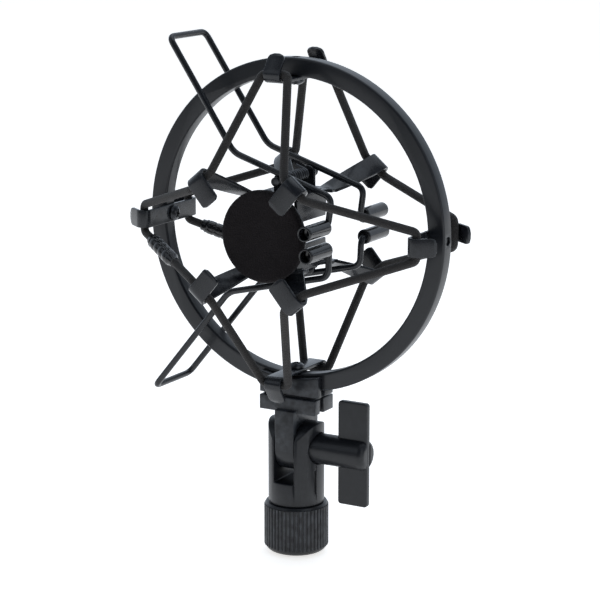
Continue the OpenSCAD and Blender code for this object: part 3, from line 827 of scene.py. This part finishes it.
class MOUNT_OT_brackets(Operator):
    """Builds the cord brackets and their screws"""

    bl_idname = "shock_mount.brackets"
    bl_label = "Cord brackets"

    def execute(self, context):
        sizes = context.scene.shock_strap
        for place, angle in (("right", 0), ("top", 90), ("left", 180), ("bottom", 270)):
            piece = cord_bracket(f"bracket_{place}_strap", math.radians(angle), sizes)
            finish_piece(piece, strap_paint(), "head", f"bracket_{place}")
        for node in ("bracket_screws", "yoke_screw"):
            softened_piece(node, "head", 0.12 * MM, screw_metal(), "black_screw")
        return {"FINISHED"}


# ---- cradle ----


def hook_axes(sx, sz, tilt):
    """Outward and strap directions of the hook in one quadrant."""
    out = Vector((sx * math.cos(tilt), 0, sz * math.sin(tilt)))
    wide = Vector((sx * math.sin(tilt), 0, -sz * math.cos(tilt)))
    return out, wide


def hook_centre(sizes, sx, sy, sz):
    x, y, z = sizes.hook_place
    return CRADLE + Vector((sx * x, sy * y, sz * z))


def cradle_arm(name, sizes, sx, sy, sz):
    """Strap from the web's corner to the hook, round the cord and back as a flap."""
    out, wide = hook_axes(sx, sz, sizes.hook_tilt)
    centre = hook_centre(sizes, sx, sy, sz)
    front = Y * sy
    bend = sizes.hook_fold + sizes.thickness / 2
    web_x, web_y, web_z = sizes.web
    root = CRADLE + Vector((sx * (web_x - sizes.hook_width / 2), sy * (web_y - 1.5 * MM), sz * web_z))
    inner = root - front * 3 * MM
    arc = []
    steps = 14
    for k in range(steps + 1):
        a = math.radians(-30 + 120 * k / steps)
        arc.append(centre + bend * (out * math.cos(a) + front * math.sin(a)))
    entry = arc[0] - (out * 0.5 + front * 0.866) * 1.6 * MM
    path = rounded([inner, root, entry], 1.6 * MM, 5)[:-1]
    reach = len(path)
    path += [path[-1].lerp(entry, k / 6) for k in range(1, 6)] + [entry] + arc
    flap = 14
    path += [arc[-1] - out * (sizes.hook_flap * k / flap) for k in range(1, flap + 1)]
    across = []
    for i in range(len(path)):
        t = min(max((i - reach + 1) / 6, 0), 1)
        across.append((X * sx).lerp(wide, t).normalized())
    corner = 1.2 * MM
    widths = []
    for i in range(len(path)):
        left = (len(path) - 1 - i) * sizes.hook_flap / flap
        widths.append(end_width(sizes.hook_width, corner, corner - left))
    return strap(name, path, across, widths, sizes.thickness, sizes.edge)


def upright(origin, right, up, facing):
    """Matrix of an origin and its three axes."""
    place = Matrix((right, up, facing)).transposed().to_4x4()
    place.translation = origin
    return place


def cradle_pressing(name, pin_node, sz, sizes, clamp):
    """One cradle plate: web, bent-up ears, side lips and four hooked arms."""
    web_x, web_y, web_z = sizes.web
    thick, edge = sizes.thickness, sizes.edge
    waist, notch = web_x - 3 * MM, 6 * MM
    outline = [
        (-web_x, -web_y), (web_x, -web_y), (waist, -notch), (waist, notch), (web_x, web_y),
        (-web_x, web_y), (-waist, notch), (-waist, -notch),
    ]
    holes = [arc_points(s * 6.5 * MM, 9.8 * MM, 1.9 * MM, 0, 360, 32)[:-1] for s in (-1, 1)]
    pin = middle(pin_node) - CRADLE
    if abs(pin.z) - clamp.coil_radius - clamp.coil_wire < web_z + thick / 2:
        wide, long = clamp.coil_room, clamp.coil_half + 1 * MM
        holes.append([(pin.x + u * wide, v * long) for u, v in ((-1, -1), (1, -1), (1, 1), (-1, 1))])
    parts = [plate("web", outline, holes, thick, edge, Matrix.Translation(CRADLE + Z * sz * web_z))]
    ear_r = 2.8 * MM
    ear = [(pin.x - ear_r, web_z), (pin.x + ear_r, web_z)] + arc_points(pin.x, abs(pin.z), ear_r, 0, 180, 20)
    for s in (-1, 1):
        place = upright(CRADLE + Y * s * 9.5 * MM, X, Z * sz, X.cross(Z * sz))
        parts.append(plate("ear", ear, [], thick, edge, place))
        high, low = web_z + thick / 2, web_z - 9 * MM
        lip = [(-11 * MM, high), (11 * MM, high), (10 * MM, low), (-10 * MM, low)]
        place = upright(CRADLE + X * s * (waist - thick / 2), Y, Z * sz, Y.cross(Z * sz))
        parts.append(plate("lip", lip, [], thick, edge, place))
    for sx in (-1, 1):
        for sy in (-1, 1):
            parts.append(cradle_arm("arm", sizes, sx, sy, sz))
    return joined(name, parts)


class MOUNT_OT_cradle(Operator):
    """Builds the two hooked plates and the bracket between them"""

    bl_idname = "shock_mount.cradle"
    bl_label = "Cradle"

    def execute(self, context):
        sizes = context.scene.shock_strap
        made = strap_paint()
        clamp = context.scene.shock_clamp
        upper = cradle_pressing("upper_plate_pressing", "upper_pivot_pin", 1, sizes, clamp)
        finish_piece(upper, made, "cradle", "cradle_upper_plate")
        lower = cradle_pressing("lower_plate_pressing", "lower_pivot_pin", -1, sizes, clamp)
        finish_piece(lower, made, "cradle", "cradle_lower_plate")
        softened_piece("centre_bracket", "cradle", 0.25 * MM, made)
        for node in ("plate_rivets", "upper_pivot_pin", "lower_pivot_pin"):
            softened_piece(node, "cradle", 0.15 * MM, screw_metal(), "black_screw")
        return {"FINISHED"}


# ---- elastic loops ----


def fold_point(angle, along, sy, sizes):
    """Cord point in a bracket's fold."""
    radius = BRACKET_SEAT + sizes.bracket_fold
    out = Vector((math.cos(angle), 0, math.sin(angle)))
    wide = Vector((-math.sin(angle), 0, math.cos(angle)))
    return RING + out * radius + wide * along + Y * sy * sizes.bracket_reach


def cord_runs(sy, straps, cord):
    """The eight stretches of a loop, each from a bracket's middle to a hook's middle."""
    runs = []
    for sx, sz, angle in ((1, 1, 0), (-1, 1, 90), (-1, -1, 180), (1, -1, 270)):
        hook = hook_centre(straps, sx, sy, sz)
        wide = hook_axes(sx, sz, straps.hook_tilt)[1]
        first = 1 if angle % 180 == 0 else -1
        turn, following = math.radians(angle), math.radians(angle + 90)
        for a, side, towards in ((turn, 1, first), (following, -1, -first)):
            runs.append([
                fold_point(a, 0, sy, straps),
                fold_point(a, side * cord.mouth, sy, straps),
                hook + wide * (towards * cord.mouth),
                hook,
            ])
    return runs


def cord_sleeve(name, run):
    """Moulded sleeve over the joint of a loop's two ends."""
    start, end = run[1], run[2]
    axis = (end - start).normalized()
    whole = (end - start).length
    low, high = 0.15 * whole, 0.64 * whole
    r = 1.5 * MM
    profile = [(r * 0.9, low), (r + 0.35 * MM, low + 0.05 * MM), (r + 0.6 * MM, low + 0.4 * MM)]
    profile += [(2.1 * MM, low + 1.4 * MM), (2.5 * MM, low + 2.0 * MM)]
    body_end = 0.57 * whole
    ribs = 5
    crest, valley = 2.6 * MM, 2.42 * MM
    for k in range(ribs):
        at = low + 2.6 * MM + (body_end - low - 3.4 * MM) * k / (ribs - 1)
        profile += [(crest, at - 0.45 * MM), (valley, at - 0.15 * MM)]
        profile += [(valley, at + 0.15 * MM), (crest, at + 0.45 * MM)]
    profile += [(2.5 * MM, body_end), (2.05 * MM, body_end + 0.7 * MM), (1.85 * MM, high - 0.3 * MM), (r * 0.9, high)]
    return lathe(name, profile, start, axis, 32)


class MOUNT_OT_elastic(Operator):
    """Builds the two elastic loops, stretched from the ring to the cradle"""

    bl_idname = "shock_mount.elastic"
    bl_label = "Elastic loops"

    def execute(self, context):
        straps, cord = context.scene.shock_strap, context.scene.shock_cord
        for sy, side in ((-1, "front"), (1, "back")):
            runs = cord_runs(sy, straps, cord)
            for k, run in enumerate(runs):
                path = rounded(run, 1.6 * MM, 6)
                piece = tube(f"elastic_{side}_{k + 1}", path, cord.diameter / 2, 20)
                piece.data.materials.append(elastic_cover())
                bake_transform(piece)
                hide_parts(f"elastic_loop_{side}")
            run = runs[4]
            piece = cord_sleeve(f"moulded_sleeve_{side}", run)
            piece.data.materials.append(grip_plastic())
            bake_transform(piece)
            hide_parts(f"cord_sleeve_{side}")
        return {"FINISHED"}


# ---- clamp ----

# One leg of each lever, from the jaw to the handle, in millimetres from the cradle's centre:
# sideways, and away from the middle
UPPER_LEG = ((22.0, 4.4), (23.4, 14.7), (-16.1, 27.5), (-42.5, 66.8))
LOWER_LEG = ((22.5, 3.3), (22.1, 13.5), (-18.5, 23.0), (-50.8, 62.0))


def lever_route(leg, sz, sizes):
    def at(x, y, z):
        return CRADLE + Vector((x * MM, y, sz * z * MM))

    end = sizes.grip_end - sizes.wire_in
    front = [at(x, -sizes.leg, z) for x, z in leg]
    back = [at(x, sizes.leg, z) for x, z in reversed(leg)]
    return [at(leg[0][0], -end, leg[0][1])] + front + back + [at(leg[0][0], end, leg[0][1])]


def tube_grip(name, leg, sz, sy, sizes):
    """Soft tube pushed over a jaw bar, open at its outer end."""
    origin = CRADLE + Vector((leg[0][0] * MM, sy * sizes.grip_end, sz * leg[0][1] * MM))
    r, wall, whole = sizes.grip / 2, 0.65 * MM, sizes.grip_length
    profile = [(r - wall, sizes.wire_in), (r - wall, 0.25 * MM)]
    profile += arc_points(r - wall / 2, 0.25 * MM, wall / 2, 180, 360, 6)
    margin, waves, dip = 1.2 * MM, 8, 0.05 * MM
    for k in range(waves + 1):
        profile.append((r - k % 2 * dip, margin + (whole - 2 * margin) * k / waves))
    profile += arc_points(r - 0.5 * MM, whole - 0.5 * MM, 0.5 * MM, 0, 90, 5)
    profile += [(1.2 * MM, whole), (1.2 * MM, sizes.wire_in + 0.3 * MM)]
    return lathe(name, profile, origin, Y * -sy, 48, closed=True)


def torsion_spring(name, pin_node, sz, sizes):
    """Coil round the pin, with a short straight tail at each end."""
    pin = middle(pin_node)
    start = math.radians(-110)
    end = start + 2 * math.pi * sizes.coil_turns
    steps = int(28 * sizes.coil_turns)
    coil = []
    for k in range(steps + 1):
        a = start + (end - start) * k / steps
        out = X * math.cos(a) + Z * sz * math.sin(a)
        coil.append(pin + out * sizes.coil_radius + Y * sizes.coil_half * (2 * k / steps - 1))
    first = coil[0] + 2.5 * MM * (X * math.sin(start) - Z * sz * math.cos(start))
    last = coil[-1] + 4 * MM * (Z * sz * math.cos(end) - X * math.sin(end))
    return tube(name, [first] + coil + [last], sizes.coil_wire, 10)


class MOUNT_OT_clamp(Operator):
    """Builds the sprung wire levers and their tube grips"""

    bl_idname = "shock_mount.clamp"
    bl_label = "Clamp"

    def execute(self, context):
        sizes = context.scene.shock_clamp
        for side, leg, sz in (("upper", UPPER_LEG, 1), ("lower", LOWER_LEG, -1)):
            body = f"{side}_lever"
            route = rounded(lever_route(leg, sz, sizes), sizes.corner, 10)
            wire = tube(f"{side}_lever_bent_wire", route, sizes.wire / 2, 20)
            finish_piece(wire, strap_paint(), body, f"{side}_lever_wire")
            softened_piece(f"{side}_lever_bushes", body, 0.2 * MM, strap_paint())
            for place, sy in (("front", -1), ("back", 1)):
                grip = tube_grip(f"{side}_tube_grip_{place}", leg, sz, sy, sizes)
                finish_piece(grip, grip_plastic(), body, f"{side}_grip_{place}", slot="grip")
            spring = torsion_spring(f"{side}_wound_spring", f"{side}_pivot_pin", sz, sizes)
            finish_piece(spring, screw_metal(), "cradle", f"{side}_torsion_spring", slot="black_screw")
        return {"FINISHED"}


# ---- front pad ----

SWELL_FRAMES = 12


def pad_blank(name):
    """Closed disc, a little smaller than the finished pad, with a rounded rim."""
    centre = middle("front_pad")
    radius = span("front_pad", 0) / 2 - 0.35 * MM
    thick = span("front_pad", 1) - 0.5 * MM
    back = centre + Y * thick / 2
    rim = 1.3 * MM
    profile = [(0.0, 0.0)] + [(radius * k / 10, 0.0) for k in range(1, 10)]
    profile += [(radius - 0.3 * MM, 0.0), (radius, 0.3 * MM), (radius, thick - rim)]
    profile += arc_points(radius - rim, thick - rim, rim, 0, 90, 8)[1:]
    profile += [(radius * k / 10, thick) for k in range(8, 0, -1)] + [(0.0, thick)]
    return lathe(name, profile, back, -Y, 96)


class MOUNT_OT_pad(Operator):
    """Builds the foam pad at the front and what holds it"""

    bl_idname = "shock_mount.pad"
    bl_label = "Front pad"

    def execute(self, context):
        pad = pad_blank("foam_pad")
        remesh = pad.modifiers.new("Even faces", "REMESH")
        remesh.mode = "VOXEL"
        remesh.voxel_size = 0.8 * MM
        remesh.use_smooth_shade = True
        pad = baked(pad)
        before = [v.co.copy() for v in pad.data.vertices]
        cloth = pad.modifiers.new("Swell", "CLOTH")
        cloth.settings.use_pressure = True
        cloth.settings.uniform_pressure_force = 4
        cloth.settings.effector_weights.gravity = 0
        cloth.settings.tension_stiffness = 60
        cloth.settings.bending_stiffness = 5
        cloth.point_cache.frame_start = 1
        cloth.point_cache.frame_end = SWELL_FRAMES
        for k in range(1, SWELL_FRAMES + 1):
            context.scene.frame_set(k)
        pad = baked(pad)
        context.scene.frame_set(1)
        cap = 0.35 * MM
        for vertex, old in zip(pad.data.vertices, before):
            move = vertex.co - old
            if move.length > cap:
                vertex.co = old + move * (cap / move.length)
        refine = pad.modifiers.new("Finer faces", "SUBSURF")
        refine.levels = 1
        refine.render_levels = 1
        pad = baked(pad)
        pad.name = "foam_front_pad"
        smooth(pad, 60)
        finish_piece(pad, foam(), "cradle", "front_pad", slot="foam")
        softened_piece("pad_backing", "cradle", 0.25 * MM, strap_paint())
        softened_piece("pad_spacer", "cradle", 0.2 * MM, strap_paint())
        softened_piece("pad_screw", "cradle", 0.2 * MM, screw_metal(), "black_screw")
        return {"FINISHED"}


# ---- stage ----

# Name, place from the aim, width and height in metres, and power in watts
LIGHTS = (
    ("Key", (-0.45, -0.75, 0.65), (0.7, 0.7), 1.1),
    ("Side", (0.85, -0.25, 0.35), (0.5, 0.9), 1.6),
    ("Top", (0.05, 0.15, 0.9), (0.9, 0.9), 3.2),
)
LIGHT_COLOUR = (0.84, 0.91, 1.0)
SKY_COLOUR = (0.79, 0.88, 1.0)


def area_light(name, place, aim, size, power):
    light = bpy.data.lights.new(name, "AREA")
    light.shape = "RECTANGLE"
    light.size, light.size_y = size
    light.energy = power
    light.color = LIGHT_COLOUR
    obj = link(bpy.data.objects.new(name, light))
    obj.location = place
    obj.rotation_euler = (aim - place).to_track_quat("-Z", "Y").to_euler()


class MOUNT_OT_stage(Operator):
    """Sets the camera, the floor and the soft studio light"""

    bl_idname = "shock_mount.stage"
    bl_label = "Stage"

    def execute(self, context):
        sizes = context.scene.shock_stage
        az, el = sizes.azimuth, sizes.elevation
        back = Vector((math.sin(az) * math.cos(el), -math.cos(az) * math.cos(el), math.sin(el)))
        right = Vector((math.cos(az), math.sin(az), 0))
        up = back.cross(right)
        aim = RING + right * sizes.aim_right + up * sizes.aim_up
        camera = bpy.data.cameras.new("Camera")
        camera.lens = sizes.lens
        camera.clip_start = 0.01
        eye = link(bpy.data.objects.new("Camera", camera))
        eye.matrix_world = upright(aim + back * sizes.distance, right, up, back)
        context.scene.camera = eye

        context.scene.view_settings.view_transform = "Standard"
        world = bpy.data.worlds.new("Studio")
        context.scene.world = world
        world.use_nodes = True
        tree = world.node_tree
        way = put(tree, "ShaderNodeTexCoord").outputs["Generated"]
        toward = put(tree, "ShaderNodeVectorMath", {0: way, 1: tuple(back)}, operation="DOT_PRODUCT").outputs["Value"]
        limits = {"Value": toward, "From Min": -0.7, "From Max": 0.35, "To Min": 1.0, "To Max": 0.08}
        around = put(tree, "ShaderNodeMapRange", limits).outputs[0]
        seen = put(tree, "ShaderNodeLightPath").outputs["Is Camera Ray"]
        sky = tree.nodes["Background"].inputs
        tree.links.new(mixed(tree, seen, SKY_COLOUR, (1.0, 1.0, 1.0)), sky[0])
        tree.links.new(maths(tree, "MAXIMUM", around, seen), sky[1])
        for name, place, size, power in LIGHTS:
            area_light(name, aim + Vector(place), aim, size, power)

        bm = bmesh.new()
        bmesh.ops.create_grid(bm, x_segments=24, y_segments=24, size=3.0)
        mesh = bpy.data.meshes.new("Floor")
        bm.to_mesh(mesh)
        bm.free()
        floor = link(bpy.data.objects.new("Floor", mesh))
        floor.location.z = -0.6 * MM
        made, tree, shader = material("Pale floor")
        if tree:
            spot = put(tree, "ShaderNodeTexNoise", {"Scale": 3.0}).outputs[0]
            tree.links.new(mixed(tree, spot, (0.90, 0.905, 0.91), (0.93, 0.93, 0.93)), shader.inputs["Base Color"])
            shader.inputs["Roughness"].default_value = 0.9
            shader.inputs["Emission Color"].default_value = (1, 0.985, 0.96, 1)
            shader.inputs["Emission Strength"].default_value = 0.72
        mesh.materials.append(made)
        return {"FINISHED"}


# ---- panel and registration ----

SETTINGS = (
    ("shock_finish", FinishSettings),
    ("shock_strap", StrapSettings),
    ("shock_cord", CordSettings),
    ("shock_clamp", ClampSettings),
    ("shock_fitting", FittingSettings),
    ("shock_stage", StageSettings),
)
OPERATORS = (
    MOUNT_OT_stage,
    MOUNT_OT_ring,
    MOUNT_OT_fitting,
    MOUNT_OT_brackets,
    MOUNT_OT_cradle,
    MOUNT_OT_elastic,
    MOUNT_OT_clamp,
    MOUNT_OT_pad,
)


class MOUNT_PT_panel(Panel):
    """Sidebar panel with the sizes, colours and builders"""

    bl_label = "Shock mount"
    bl_idname = "MOUNT_PT_panel"
    bl_space_type = "VIEW_3D"
    bl_region_type = "UI"
    bl_category = "Shock mount"

    def draw(self, context):
        for operator in OPERATORS:
            self.layout.operator(operator.bl_idname)
        for name, settings in SETTINGS:
            box = self.layout.box()
            for prop in settings.__annotations__:
                box.prop(getattr(context.scene, name), prop)


def register():
    for name, settings in SETTINGS:
        bpy.utils.register_class(settings)
        setattr(bpy.types.Scene, name, PointerProperty(type=settings))
    for item in OPERATORS + (MOUNT_PT_panel,):
        bpy.utils.register_class(item)


def unregister():
    for item in reversed(OPERATORS + (MOUNT_PT_panel,)):
        bpy.utils.unregister_class(item)
    for name, settings in reversed(SETTINGS):
        delattr(bpy.types.Scene, name)
        bpy.utils.unregister_class(settings)


def main():
    register()
    for operator in OPERATORS:
        getattr(bpy.ops.shock_mount, operator.bl_idname.split(".")[1])()


if __name__ == "__main__":
    main()
